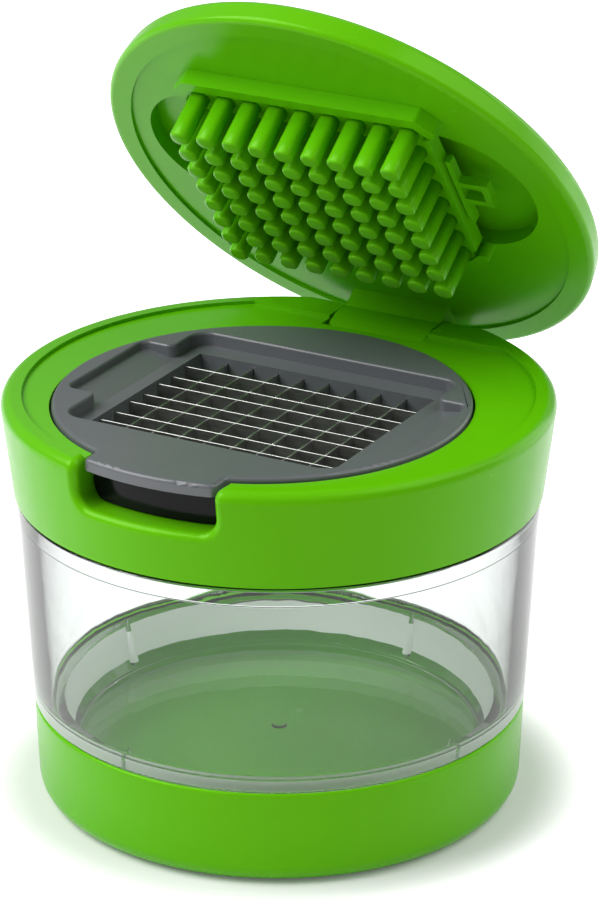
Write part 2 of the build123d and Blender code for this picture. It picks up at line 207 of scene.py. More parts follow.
def linear(colour, alpha=1.0):
    """Linear RGBA of an sRGB hex colour."""
    shares = [int(colour[i : i + 2], 16) / 255 for i in (1, 3, 5)]
    return [s / 12.92 if s <= 0.04045 else ((s + 0.055) / 1.055) ** 2.4 for s in shares] + [alpha]


def add_node(tree, kind, sockets=None, **settings):
    """Adds a node with its settings; a socket takes a value, an output, or a node for its first output."""
    made = tree.nodes.new(kind)
    for name, value in settings.items():
        setattr(made, name, value)
    for name, value in (sockets or {}).items():
        if isinstance(value, bpy.types.Node):
            value = value.outputs[0]
        if isinstance(value, bpy.types.NodeSocket):
            tree.links.new(value, made.inputs[name])
        else:
            made.inputs[name].default_value = value
    return made


def new_material(name):
    """An empty material and its Object coordinates."""
    material = bpy.data.materials.new(name)
    material.use_nodes = True
    tree = material.node_tree
    tree.nodes.clear()
    place = add_node(tree, "ShaderNodeTexCoord").outputs["Object"]
    return material, tree, place


def moulded_plastic(name, light, dark, gloss_tint, shine, smooth, rough, grain, grain_depth):
    """Injection-moulded ABS, or the white band painted inside the clear skirt in place of light seen through
    it: drifting tone and gloss, and the fine grain of the mould.
    """
    material, tree, place = new_material(name)
    cloud = add_node(
        tree,
        "ShaderNodeTexNoise",
        {"Vector": place, "Scale": 1 / (tone_size * MM), "Detail": tone_detail},
    )
    colour = add_node(
        tree,
        "ShaderNodeMix",
        {"Factor": cloud.outputs["Fac"], "A": linear(dark), "B": linear(light)},
        data_type="RGBA",
    )
    gloss = add_node(
        tree,
        "ShaderNodeTexNoise",
        {"Vector": place, "Scale": 1 / (gloss_size * MM), "Detail": gloss_detail},
    )
    roughness = add_node(
        tree,
        "ShaderNodeMapRange",
        {"Value": gloss.outputs["Fac"], "To Min": smooth, "To Max": rough},
    )
    skin = add_node(
        tree,
        "ShaderNodeTexNoise",
        {"Vector": place, "Scale": 1 / (grain * MM), "Detail": grain_detail},
    )
    bump = add_node(
        tree,
        "ShaderNodeBump",
        {"Height": skin.outputs["Fac"], "Strength": 1.0, "Distance": grain_depth * MM},
    )
    shader = add_node(
        tree,
        "ShaderNodeBsdfPrincipled",
        {
            "Base Color": colour.outputs["Result"],
            "Roughness": roughness.outputs["Result"],
            "Normal": bump.outputs["Normal"],
            "IOR": 1.5,
            "Specular IOR Level": shine,
            "Specular Tint": linear(gloss_tint),
        },
    )
    add_node(tree, "ShaderNodeOutputMaterial", {"Surface": shader.outputs["BSDF"]})
    return material


def clear_plastic(name):
    """Clear moulded SAN: polished and colourless, with faint flow waves; light falls straight through it."""
    material, tree, place = new_material(name)
    waves = add_node(
        tree,
        "ShaderNodeTexNoise",
        {"Vector": place, "Scale": 1 / (flow_size * MM), "Detail": flow_detail},
    )
    bump = add_node(
        tree,
        "ShaderNodeBump",
        {"Height": waves.outputs["Fac"], "Strength": 1.0, "Distance": flow_depth * MM},
    )
    shader = add_node(
        tree,
        "ShaderNodeBsdfPrincipled",
        {
            "Base Color": linear(clear),
            "Roughness": 0.0,
            "IOR": 1.57,
            "Transmission Weight": 1.0,
            "Normal": bump.outputs["Normal"],
        },
    )
    path = add_node(tree, "ShaderNodeLightPath").outputs
    through = add_node(tree, "ShaderNodeBsdfTransparent", {"Color": linear(clear)})
    surface = shader.outputs["BSDF"]
    for ray in ("Is Shadow Ray", "Is Diffuse Ray"):
        surface = add_node(
            tree,
            "ShaderNodeMixShader",
            {0: path[ray], 1: surface, 2: through.outputs["BSDF"]},
        ).outputs["Shader"]
    add_node(tree, "ShaderNodeOutputMaterial", {"Surface": surface})
    return material


def strip_steel(name):
    """Stainless strip: bright rolled metal with fine lines along its length."""
    material, tree, place = new_material(name)
    rolled = add_node(
        tree,
        "ShaderNodeMapping",
        {"Vector": place, "Scale": (1.0, 1.0, rolled_stretch)},
    )
    lines = add_node(
        tree,
        "ShaderNodeTexNoise",
        {"Vector": rolled.outputs["Vector"], "Scale": 1 / (rolled_size * MM), "Detail": rolled_detail},
    )
    colour = add_node(
        tree,
        "ShaderNodeMix",
        {"Factor": lines.outputs["Fac"], "A": linear(steel_dark), "B": linear(steel)},
        data_type="RGBA",
    )
    roughness = add_node(
        tree,
        "ShaderNodeMapRange",
        {"Value": lines.outputs["Fac"], "To Min": rolled_smooth, "To Max": rolled_rough},
    )
    shader = add_node(
        tree,
        "ShaderNodeBsdfPrincipled",
        {
            "Base Color": colour.outputs["Result"],
            "Metallic": 1.0,
            "Roughness": roughness.outputs["Result"],
        },
    )
    add_node(tree, "ShaderNodeOutputMaterial", {"Surface": shader.outputs["BSDF"]})
    return material


def as_piece(name, mesh, material):
    """A mesh as an object at the origin, with its material."""
    mesh.materials.clear()
    mesh.materials.append(material)
    piece = bpy.data.objects.new(name, mesh)
    bpy.context.scene.collection.objects.link(piece)
    return piece


def settled(piece):
    """The piece with its modifiers made part of its mesh."""
    graph = bpy.context.evaluated_depsgraph_get()
    mesh = bpy.data.meshes.new_from_object(piece.evaluated_get(graph))
    piece.modifiers.clear()
    piece.data = mesh
    return piece


def add_bevel(piece, rounding, segments, limit):
    """Rounds off the piece's sharp edges, or only the edges that are marked for it."""
    bevel = piece.modifiers.new("rounding", "BEVEL")
    bevel.limit_method = limit
    bevel.angle_limit = math.radians(edge_angle)
    bevel.width = rounding * MM
    bevel.segments = segments
    bevel.use_clamp_overlap = True


def add_flat_normals(piece):
    """Keeps the flats flat beside the rounded edges."""
    normals = piece.modifiers.new("flats", "WEIGHTED_NORMAL")
    normals.keep_sharp = True


def mark_top_edges(skin):
    """Marks the sharp edges that lie in the highest plane."""
    marks = skin.edges.layers.float.new("bevel_weight_edge")
    top = max(corner.co.z for corner in skin.verts) - top_tolerance * MM
    for edge in skin.edges:
        on_top = all(corner.co.z > top for corner in edge.verts)
        if on_top and edge.calc_face_angle(0.0) > math.radians(edge_angle):
            edge[marks] = 1.0


def softened(node, material, rounding, top_rounding=0.0):
    """The node's own shape as one closed skin, with its sharp edges rounded off."""
    skin = bmesh.new()
    skin.from_mesh(frame["nodes"][node].data)
    bmesh.ops.remove_doubles(skin, verts=skin.verts, dist=weld * MM)
    bmesh.ops.dissolve_limit(
        skin,
        angle_limit=math.radians(flat_angle),
        verts=skin.verts,
        edges=skin.edges,
    )
    for face in skin.faces:
        face.smooth = True
    if top_rounding:
        mark_top_edges(skin)
    mesh = bpy.data.meshes.new(node)
    skin.to_mesh(mesh)
    skin.free()
    piece = as_piece(node + "_skin", mesh, material)
    if top_rounding:
        add_bevel(piece, top_rounding, lip_steps, "WEIGHT")
    add_bevel(piece, rounding, edge_steps, "ANGLE")
    add_flat_normals(piece)
    return settled(piece)


def corner_arc(before, corner, after, radius):
    """Points of the arc that rounds off a corner."""
    into = (before - corner).normalized()
    out = (after - corner).normalized()
    half = into.angle(out) / 2
    start = corner + into * radius / math.tan(half)
    centre = corner + (into + out).normalized() * radius / math.sin(half)
    turn = math.copysign(math.pi - 2 * half, out.cross(into))
    spokes = [Matrix.Rotation(turn * i / arc_steps, 2) for i in range(arc_steps + 1)]
    return [centre + spoke @ (start - centre) for spoke in spokes]


def rounded_outline(corners):
    """Points of an outline given as corners of two places and a rounding."""
    points = []
    for i, (u, v, rounding) in enumerate(corners):
        corner = Vector((u, v))
        if rounding:
            before = Vector(corners[i - 1][:2])
            after = Vector(corners[(i + 1) % len(corners)][:2])
            points += corner_arc(before, corner, after, rounding)
        else:
            points.append(corner)
    return points


def ring_of(skin, radius, height, segments):
    """Corners of one ring about the upright axis, all the same one on the axis itself."""
    if radius < weld:
        return [skin.verts.new((0, 0, height))] * segments
    turns = [math.tau * i / segments for i in range(segments)]
    return [skin.verts.new((radius * math.cos(t), radius * math.sin(t), height)) for t in turns]


def turned(name, corners, segments):
    """Closed mesh of revolution from an outline that starts and ends on the axis."""
    skin = bmesh.new()
    rings = [ring_of(skin, *point, segments) for point in rounded_outline(corners)]
    for lower, upper in zip(rings, rings[1:]):
        for i in range(segments):
            j = (i + 1) % segments
            loop = list(dict.fromkeys((lower[i], lower[j], upper[j], upper[i])))
            skin.faces.new(loop)
    bmesh.ops.recalc_face_normals(skin, faces=skin.faces)
    return in_metres(name, skin)


def in_metres(name, skin):
    """Finished mesh of a skin drawn in millimetres, smooth but for its sharp edges."""
    for face in skin.faces:
        face.smooth = True
    mesh = bpy.data.meshes.new(name)
    skin.to_mesh(mesh)
    skin.free()
    mesh.transform(Matrix.Scale(MM, 4))
    mesh.set_sharp_from_angle(angle=math.radians(edge_angle))
    return mesh


def size_of(node):
    """Lowest and highest corner of a node, in millimetres."""
    low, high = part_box(node)
    return Vector(low) / MM, Vector(high) / MM


def middle_of(node):
    """Middle of a node's box, in millimetres."""
    low, high = size_of(node)
    return (low + high) / 2


def make_base_cup(material):
    """Green cup with a crisp rim and a rounded foot."""
    _, high = size_of("base_cup")
    rim, top = high.x, high.z
    foot = rim - base_taper
    mesh = turned(
        "base_cup",
        [
            (0, 0, 0),
            (foot, 0, base_rounding),
            (rim, top, base_rim_rounding),
            (rim - base_wall, top, base_rim_rounding),
            (foot - base_wall, base_floor, base_floor_rounding),
            (0, base_floor, 0),
        ],
        round_segments,
    )
    cup = as_piece("base_cup_body", mesh, material)
    add_flat_normals(cup)
    return settled(cup)


def container_outline():
    """Outline of the clear cup, from its underside over the outside to its floor."""
    low, high = size_of("container")
    _, base = size_of("base_cup")
    collar, _ = size_of("collar")
    top = high.x
    foot = top - container_taper
    skirt = base.x - base_wall - skirt_clearance
    neck = top - neck_inset
    seam_top = collar.z - seam_gap
    bead_foot = seam_top - bead_height
    band = base.z + foot_band
    inside_top = neck - neck_wall
    inside_foot = foot - container_wall
    bottom = low.z
    floor = bottom + container_floor
    well = skirt - skirt_wall - skirt_draft - well_inset
    return [
        (0, bottom, 0),
        (well + skirt_wall, bottom, underside_rounding),
        (skirt, base.z, seat_rounding),
        (foot - seam_depth, base.z, 0),
        (foot - seam_depth, base.z + seam_gap, seam_rounding),
        (foot, base.z + seam_gap, foot_rounding),
        (top - bead_draft - bead_proud, bead_foot, seam_rounding),
        (top - bead_draft, bead_foot, bead_rounding),
        (top, seam_top, lip_rounding),
        (top - seam_depth, seam_top, seam_rounding),
        (top - seam_depth, collar.z, 0),
        (neck, collar.z, seam_rounding),
        (neck, high.z, lip_rounding),
        (inside_top, high.z, lip_rounding),
        (inside_foot, band, shoulder_rounding),
        (skirt - skirt_wall, band - shoulder_slope, shoulder_rounding),
        (well + well_slope, floor + band_foot, band_rounding),
        (well, floor, floor_rounding),
        (gate_radius, floor, gate_foot_rounding),
        (gate_radius, floor + gate_height, gate_rounding),
        (0, floor + gate_height, 0),
    ]


def new_tree(name, sizes):
    """An empty Geometry Nodes tree with named inputs; returns it with their sockets by name."""
    tree = bpy.data.node_groups.new(name, "GeometryNodeTree")
    tree.interface.new_socket("Geometry", in_out="INPUT", socket_type="NodeSocketGeometry")
    for size in sizes:
        kind = "NodeSocketInt" if isinstance(sizes[size], int) else "NodeSocketFloat"
        tree.interface.new_socket(size, in_out="INPUT", socket_type=kind)
    tree.interface.new_socket("Material", in_out="INPUT", socket_type="NodeSocketMaterial")
    tree.interface.new_socket("Geometry", in_out="OUTPUT", socket_type="NodeSocketGeometry")
    return tree, add_node(tree, "NodeGroupInput").outputs


def close_tree(tree, geometry, material):
    """Ends a tree with real faces in their material."""
    real = add_node(tree, "GeometryNodeRealizeInstances", {"Geometry": geometry})
    faced = add_node(
        tree,
        "GeometryNodeSetMaterial",
        {"Geometry": real.outputs["Geometry"], "Material": material},
    )
    add_node(tree, "NodeGroupOutput", {"Geometry": faced.outputs["Geometry"]})


def apply_tree(piece, tree, sizes, material):
    """Runs a tree on a piece and keeps the result as its mesh."""
    maker = piece.modifiers.new(tree.name, "NODES")
    maker.node_group = tree
    for socket in tree.interface.items_tree:
        if socket.in_out == "INPUT" and socket.name in sizes:
            maker[socket.identifier] = sizes[socket.name]
        if socket.in_out == "INPUT" and socket.name == "Material":
            maker[socket.identifier] = material
    return settled(piece)


def drop_tree(sizes):
    """Teardrops that stand in a ring: the upper half of a ball drawn out to a tip."""
    tree, given = new_tree("teardrop_ribs", sizes)
    ball = add_node(
        tree,
        "GeometryNodeMeshUVSphere",
        {"Segments": rib_segments, "Rings": rib_rings, "Radius": given["Rib Radius"]},
    )
    position = add_node(tree, "GeometryNodeInputPosition")
    place = add_node(tree, "ShaderNodeSeparateXYZ", {"Vector": position}).outputs
    above = add_node(tree, "ShaderNodeMath", {0: place["Z"], 1: 0.0}, operation="MAXIMUM")
    share = add_node(tree, "ShaderNodeMath", {0: above, 1: given["Rib Radius"]}, operation="DIVIDE")
    loss = add_node(tree, "ShaderNodeMath", {0: share, 1: given["Taper"]}, operation="MULTIPLY")
    thin = add_node(tree, "ShaderNodeMath", {0: 1.0, 1: loss}, operation="SUBTRACT")
    ball_size = add_node(tree, "ShaderNodeMath", {0: given["Rib Radius"], 1: 2.0}, operation="MULTIPLY")
    stretch = add_node(tree, "ShaderNodeMath", {0: given["Rib Height"], 1: ball_size}, operation="SUBTRACT")
    lean = add_node(tree, "ShaderNodeMath", {0: share, 1: given["Lean"]}, operation="MULTIPLY")
    x = add_node(tree, "ShaderNodeMath", {0: place["X"], 1: thin, 2: lean}, operation="MULTIPLY_ADD")
    y = add_node(tree, "ShaderNodeMath", {0: place["Y"], 1: thin}, operation="MULTIPLY")
    z = add_node(tree, "ShaderNodeMath", {0: share, 1: stretch, 2: place["Z"]}, operation="MULTIPLY_ADD")
    drawn = add_node(tree, "ShaderNodeCombineXYZ", {"X": x, "Y": y, "Z": z})
    drop = add_node(
        tree,
        "GeometryNodeSetPosition",
        {"Geometry": ball.outputs["Mesh"], "Position": drawn.outputs["Vector"]},
    )
    number = add_node(tree, "GeometryNodeInputIndex")
    step = add_node(tree, "ShaderNodeMath", {0: math.tau, 1: given["Count"]}, operation="DIVIDE")
    turn = add_node(
        tree,
        "ShaderNodeMath",
        {0: number, 1: step, 2: given["Start"]},
        operation="MULTIPLY_ADD",
    )
    cosine = add_node(tree, "ShaderNodeMath", {0: turn}, operation="COSINE")
    sine = add_node(tree, "ShaderNodeMath", {0: turn}, operation="SINE")
    right = add_node(tree, "ShaderNodeMath", {0: cosine, 1: given["Ring Radius"]}, operation="MULTIPLY")
    back = add_node(tree, "ShaderNodeMath", {0: sine, 1: given["Ring Radius"]}, operation="MULTIPLY")
    spot = add_node(tree, "ShaderNodeCombineXYZ", {"X": right, "Y": back, "Z": given["Ring Height"]})
    facing = add_node(tree, "ShaderNodeCombineXYZ", {"Z": turn}).outputs["Vector"]
    points = add_node(
        tree,
        "GeometryNodePoints",
        {"Count": given["Count"], "Position": spot.outputs["Vector"]},
    )
    ribs = add_node(
        tree,
        "GeometryNodeInstanceOnPoints",
        {"Points": points.outputs["Points"], "Instance": drop.outputs["Geometry"], "Rotation": facing},
    )
    close_tree(tree, ribs.outputs["Instances"], given["Material"])
    return tree


def make_ribs(material):
    """The teardrop ribs, half sunk in the skirt's inner wall and leaning with it."""
    _, base = size_of("base_cup")
    low, _ = size_of("container")
    skirt_inside = base.x - base_wall - skirt_clearance - skirt_wall
    sizes = {
        "Count": rib_count,
        "Start": math.radians(rib_start),
        "Ring Radius": (skirt_inside - well_inset + rib_inset) * MM,
        "Ring Height": (low.z + container_floor + rib_foot) * MM,
        "Lean": (well_inset - rib_inset) * MM,
        "Rib Radius": rib_radius * MM,
        "Rib Height": rib_height * MM,
        "Taper": rib_taper,
    }
    ribs = as_piece("ribs", bpy.data.meshes.new("ribs"), material)
    return apply_tree(ribs, drop_tree(sizes), sizes, material)


def joined(piece, *others):
    """The piece made one closed body with the others, which are used up."""
    for other in others:
        union = piece.modifiers.new("union", "BOOLEAN")
        union.operation = "UNION"
        union.solver = "EXACT"
        union.object = other
    settled(piece)
    for other in others:
        bpy.data.objects.remove(other)
    return piece


def make_container(material, painted_light):
    """Clear cup with its bead, stepped foot, gate mark and teardrop ribs, and a band painted white inside
    its skirt in place of light seen through it.
    """
    mesh = turned("container", container_outline(), round_segments)
    cup = joined(as_piece("container_cup", mesh, material), make_ribs(material))
    # The skirt's inner faces between the band's foot and the base's rim are painted white, standing in for
    # bright light seen through the clear wall.
    cup.data.materials.append(painted_light)
    low, _ = size_of("container")
    _, base = size_of("base_cup")
    inner = base.x - base_wall - skirt_clearance - skirt_wall / 2
    foot = low.z + container_floor + band_foot
    for face in cup.data.polygons:
        face.use_smooth = True
        place = face.center / MM
        inside = math.hypot(place.x, place.y) < inner
        if inside and foot < place.z < base.z:
            face.material_index = 1
    cup.data.set_sharp_from_angle(angle=math.radians(edge_angle))
    add_flat_normals(cup)
    return settled(cup)


def prism(name, outline, low, high, material):
    """Upright closed block over an outline of points."""
    skin = bmesh.new()
    face = skin.faces.new([skin.verts.new((u, v, low)) for u, v in outline])
    raised = bmesh.ops.extrude_face_region(skin, geom=[face])["geom"]
    top = [corner for corner in raised if isinstance(corner, bmesh.types.BMVert)]
    bmesh.ops.translate(skin, verts=top, vec=(0, 0, high - low))
    bmesh.ops.recalc_face_normals(skin, faces=skin.faces)
    return as_piece(name, in_metres(name, skin), material)


def rectangle(x, y, width, length):
    """Corners of a rectangle about a middle."""
    half = Vector((width / 2, length / 2))
    return [(x + half.x * u, y + half.y * v) for u, v in ((-1, -1), (1, -1), (1, 1), (-1, 1))]


def bar(start, end, width):
    """Outline of a straight bar with round ends."""
    start, end = Vector(start), Vector(end)
    along = (end - start).normalized() * width / 2
    points = []
    for middle, forward in ((end, along), (start, -along)):
        turns = [math.pi * (i / (2 * arc_steps) - 0.5) for i in range(2 * arc_steps + 1)]
        points += [middle + Matrix.Rotation(t, 2) @ forward for t in turns]
    return points


def pin_tree(sizes):
    """Rounded square pins on a grid, each with a domed tip, added to the plate that carries them."""
    tree, given = new_tree("presser_pins", sizes)
    square = add_node(
        tree,
        "GeometryNodeCurvePrimitiveQuadrilateral",
        {"Width": given["Across"], "Height": given["Along"]},
    )
    section = add_node(
        tree,
        "GeometryNodeFilletCurve",
        {
            "Curve": square.outputs["Curve"],
            "Radius": given["Rounding"],
            "Count": pin_rounding_steps,
            "Limit Radius": True,
        },
        mode="POLY",
    )
    root = add_node(tree, "GeometryNodeFillCurve", {"Curve": section.outputs["Curve"]}, mode="NGONS")
    down = add_node(tree, "ShaderNodeCombineXYZ", {"Z": -1.0})
    straight = add_node(tree, "ShaderNodeMath", {0: given["Reach"], 1: given["Tip"]}, operation="SUBTRACT")
    shaft = add_node(
        tree,
        "GeometryNodeExtrudeMesh",
        {"Mesh": root, "Offset": down, "Offset Scale": straight},
    )
    shape, end = shaft.outputs["Mesh"], shaft.outputs["Top"]
    half = add_node(tree, "ShaderNodeMath", {0: given["Along"], 1: 0.5}, operation="MULTIPLY")
    inset = add_node(tree, "ShaderNodeMath", {0: given["Tip"], 1: half}, operation="DIVIDE")
    for i in range(pin_tip_steps):
        before = i / pin_tip_steps * math.pi / 2
        after = (i + 1) / pin_tip_steps * math.pi / 2
        climb = math.sin(after) - math.sin(before)
        rise = add_node(tree, "ShaderNodeMath", {0: given["Tip"], 1: climb}, operation="MULTIPLY")
        wide, narrow = [
            add_node(
                tree,
                "ShaderNodeMath",
                {0: inset, 1: math.cos(turn) - 1, 2: 1.0},
                operation="MULTIPLY_ADD",
            )
            for turn in (before, after)
        ]
        scale = add_node(tree, "ShaderNodeMath", {0: narrow, 1: wide}, operation="DIVIDE")
        ring = add_node(
            tree,
            "GeometryNodeExtrudeMesh",
            {"Mesh": shape, "Selection": end, "Offset": down, "Offset Scale": rise},
        )
        drawn_in = add_node(
            tree,
            "GeometryNodeScaleElements",
            {
                "Geometry": ring.outputs["Mesh"],
                "Selection": ring.outputs["Top"],
                "Scale": scale,
            },
        )
        shape, end = drawn_in.outputs["Geometry"], ring.outputs["Top"]
    lid = add_node(tree, "GeometryNodeFlipFaces", {"Mesh": root})
    whole = add_node(tree, "GeometryNodeJoinGeometry")
    tree.links.new(shape, whole.inputs["Geometry"])
    tree.links.new(lid.outputs["Mesh"], whole.inputs["Geometry"])
    closed = add_node(
        tree,
        "GeometryNodeMergeByDistance",
        {"Geometry": whole.outputs["Geometry"], "Distance": weld * MM},
    )
    outward = add_node(tree, "GeometryNodeFlipFaces", {"Mesh": closed.outputs["Geometry"]})
    smooth = add_node(tree, "GeometryNodeSetShadeSmooth", {"Geometry": outward.outputs["Mesh"]})
    spans = []
    for count, pitch in (("Columns", "Pitch Across"), ("Rows", "Pitch Along")):
        gaps = add_node(tree, "ShaderNodeMath", {0: given[count], 1: 1.0}, operation="SUBTRACT")
        spans.append(add_node(tree, "ShaderNodeMath", {0: given[pitch], 1: gaps}, operation="MULTIPLY"))
    grid = add_node(
        tree,
        "GeometryNodeMeshGrid",
        {
            "Size X": spans[0],
            "Size Y": spans[1],
            "Vertices X": given["Columns"],
            "Vertices Y": given["Rows"],
        },
    )
    spot = add_node(tree, "ShaderNodeCombineXYZ", {"Y": given["Middle"], "Z": given["Height"]})
    placed = add_node(
        tree,
        "GeometryNodeTransform",
        {"Geometry": grid.outputs["Mesh"], "Translation": spot.outputs["Vector"]},
    )
    pins = add_node(
        tree,
        "GeometryNodeInstanceOnPoints",
        {"Points": placed.outputs["Geometry"], "Instance": smooth.outputs["Geometry"]},
    )
    both = add_node(tree, "GeometryNodeJoinGeometry")
    tree.links.new(pins.outputs["Instances"], both.inputs["Geometry"])
    tree.links.new(given["Geometry"], both.inputs["Geometry"])
    close_tree(tree, both.outputs["Geometry"], given["Material"])
    return tree


def swung_open(piece):
    """Turns a piece that is drawn closed about the hinge, to where the open lid is."""
    hinge = next(joint for joint in frame["joints"] if joint["name"] == "lid_hinge")
    place = Matrix.Translation(hinge["pos_m"])
    turn = Matrix.Rotation(math.radians(hinge["range_deg"][0]), 4, "X")
    piece.data.transform(place @ turn @ place.inverted())
    return piece


def presser_body(material, middle, half_width, half_length, low, high):
    """Plate with its end rails, side ribs and snap loops, as one closed body."""
    plate = prism("presser_skin", rectangle(0, middle, 2 * half_width, 2 * half_length), low, high, material)
    blocks = []
    rail_y = half_length - presser_margin + rail_gap + rail_width / 2
    rail_x = half_width - presser_margin
    knee = rail_bend / math.sqrt(2)
    for side in (-1, 1):
        y = middle + side * rail_y
        bars = [bar((-rail_x, y), (rail_x, y), rail_width)]
        for end in (-1, 1):
            bent = (end * (rail_x + knee), y - side * knee)
            bars.append(bar((end * rail_x, y), bent, rail_width))
        blocks += [prism("rail", outline, low - rail_drop, high, material) for outline in bars]
        rib_x = side * (half_width + side_rib / 2)
        rib = rectangle(rib_x, middle, side_rib, 2 * (half_length - side_rib_margin))
        blocks.append(prism("rib", rib, low - side_rib_drop, high, material))
        arm_x = half_width + side_rib + loop_arm_gap + side_rib / 2
        arm = rectangle(side * arm_x, middle, side_rib, loop_arm_length)
        blocks.append(prism("arm", arm, high - loop_thickness, high, material))
        web = rectangle(side * half_width, middle, 2 * (arm_x - half_width), loop_arm_length)
        blocks.append(prism("web", web, high - loop_web, high, material))
        leg = (loop_size - loop_opening) / 2
        outer_x = side * (arm_x + loop_size - leg / 2)
        bridge = rectangle(outer_x, middle, leg, loop_size)
        blocks.append(prism("bridge", bridge, high - loop_thickness, high, material))
        for end in (-1, 1):
            leg_y = middle + end * (loop_size - leg) / 2
            leg_plan = rectangle(side * (arm_x + loop_size / 2), leg_y, loop_size, leg)
            blocks.append(prism("leg", leg_plan, high - loop_thickness, high, material))
    return joined(plate, *blocks)


def make_presser(material):
    """Insert of the lid: pins in the pattern of the cells, on a plate with rails, ribs and loops."""
    columns = 1 + sum(name.startswith("long_blade") for name in frame["nodes"])
    rows = 1 + sum(name.startswith("cross_blade") for name in frame["nodes"])
    first, last = middle_of("long_blade_1"), middle_of(f"long_blade_{columns - 1}")
    front, back = middle_of("cross_blade_1"), middle_of(f"cross_blade_{rows - 1}")
    pitch_across = (last.x - first.x) / (columns - 2)
    pitch_along = (back.y - front.y) / (rows - 2)
    across = pitch_across - 2 * pin_gap_across
    along = pitch_along - 2 * pin_gap_along
    middle = (front.y + back.y) / 2 + presser_offset
    half_width = (columns - 1) / 2 * pitch_across + across / 2 + presser_margin
    half_length = (rows - 1) / 2 * pitch_along + along / 2 + presser_margin
    _, collar = size_of("collar")
    high = collar.z + lid_gap + lid_recess
    low = high - presser_plate
    body = presser_body(material, middle, half_width, half_length, low, high)
    add_bevel(body, presser_rounding, lip_steps, "ANGLE")
    add_flat_normals(body)
    settled(body)
    sizes = {
        "Columns": columns,
        "Rows": rows,
        "Pitch Across": pitch_across * MM,
        "Pitch Along": pitch_along * MM,
        "Across": across * MM,
        "Along": along * MM,
        "Rounding": pin_rounding * MM,
        "Reach": pin_reach * MM,
        "Tip": pin_tip * MM,
        "Middle": middle * MM,
        "Height": low * MM,
    }
    apply_tree(body, pin_tree(sizes), sizes, material)
    return swung_open(body)


def stand_in_for(piece, node, body):
    """The piece takes the node's place, moves with its body and has its finish."""
    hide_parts(node)
    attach(piece, body)


def direction(azimuth, elevation):
    """Unit vector towards a place given by its angles, with azimuth 0 in front of the finger notch."""
    around, up = math.radians(azimuth), math.radians(elevation)
    flat = math.cos(up)
    return Vector((math.sin(around) * flat, -math.cos(around) * flat, math.sin(up)))


def make_camera():
    """Camera at the photograph's viewing angle."""
    back = direction(camera_azimuth, camera_elevation)
    data = bpy.data.cameras.new("camera")
    data.sensor_width = sensor
    data.lens = sensor * focal_length / image_height
    camera = bpy.data.objects.new("camera", data)
    camera.location = (Vector(camera_target) + back * camera_distance) * MM
    camera.rotation_euler = back.to_track_quat("Z", "Y").to_euler()
    bpy.context.scene.collection.objects.link(camera)
    bpy.context.scene.camera = camera


def thrown_back(tree, path):
    """1 for a view through clear plastic that the plastic has thrown back inside itself, otherwise 0."""
    turns = add_node(tree, "ShaderNodeMath", {0: path["Glossy Depth"], 1: 1.0}, operation="MINIMUM")
    return add_node(tree, "ShaderNodeMath", {0: path["Is Transmission Ray"], 1: turns}, operation="MULTIPLY")


def make_world():
    """Plain room: white where it is seen, softer as gloss and light, dark high up through clear plastic."""
    world = bpy.data.worlds.new("studio")
    bpy.context.scene.world = world
    world.use_nodes = True
    tree = world.node_tree
    tree.nodes.clear()
    path = add_node(tree, "ShaderNodeLightPath").outputs
    level = add_node(
        tree,
        "ShaderNodeMath",
        {0: path["Is Glossy Ray"], 1: sky_gloss - sky_light, 2: sky_light},
        operation="MULTIPLY_ADD",
    )
    one_wall = add_node(
        tree,
        "ShaderNodeMath",
        {0: path["Transparent Depth"], 1: wall_faces, 2: count_tolerance},
        operation="COMPARE",
    )
    inside = add_node(tree, "ShaderNodeMath", {0: path["Is Diffuse Ray"], 1: one_wall}, operation="MULTIPLY")
    level = add_node(
        tree,
        "ShaderNodeMath",
        {0: inside, 1: sky_inside - sky_light, 2: level},
        operation="MULTIPLY_ADD",
    )
    way = add_node(tree, "ShaderNodeTexCoord").outputs["Generated"]
    up = add_node(tree, "ShaderNodeSeparateXYZ", {"Vector": way}).outputs["Z"]
    room = add_node(
        tree,
        "ShaderNodeMapRange",
        {
            "Value": up,
            "From Min": math.sin(math.radians(dark_from)),
            "From Max": math.sin(math.radians(dark_to)),
            "To Min": 1.0,
            "To Max": dark_level,
        },
        interpolation_type="SMOOTHSTEP",
    ).outputs["Result"]
    through = add_node(
        tree,
        "ShaderNodeMath",
        {0: path["Is Transmission Ray"], 1: room},
        operation="MULTIPLY",
    )
    seen = add_node(tree, "ShaderNodeMath", {0: path["Is Camera Ray"], 1: through}, operation="MAXIMUM")
    bright = add_node(tree, "ShaderNodeMath", {0: seen, 1: level}, operation="MAXIMUM")
    strength = add_node(
        tree,
        "ShaderNodeMix",
        {"Factor": thrown_back(tree, path), "A": bright, "B": dark_level},
    ).outputs["Result"]
    sky = add_node(tree, "ShaderNodeBackground", {"Color": linear(white), "Strength": strength})
    add_node(tree, "ShaderNodeOutputWorld", {"Surface": sky.outputs["Background"]})


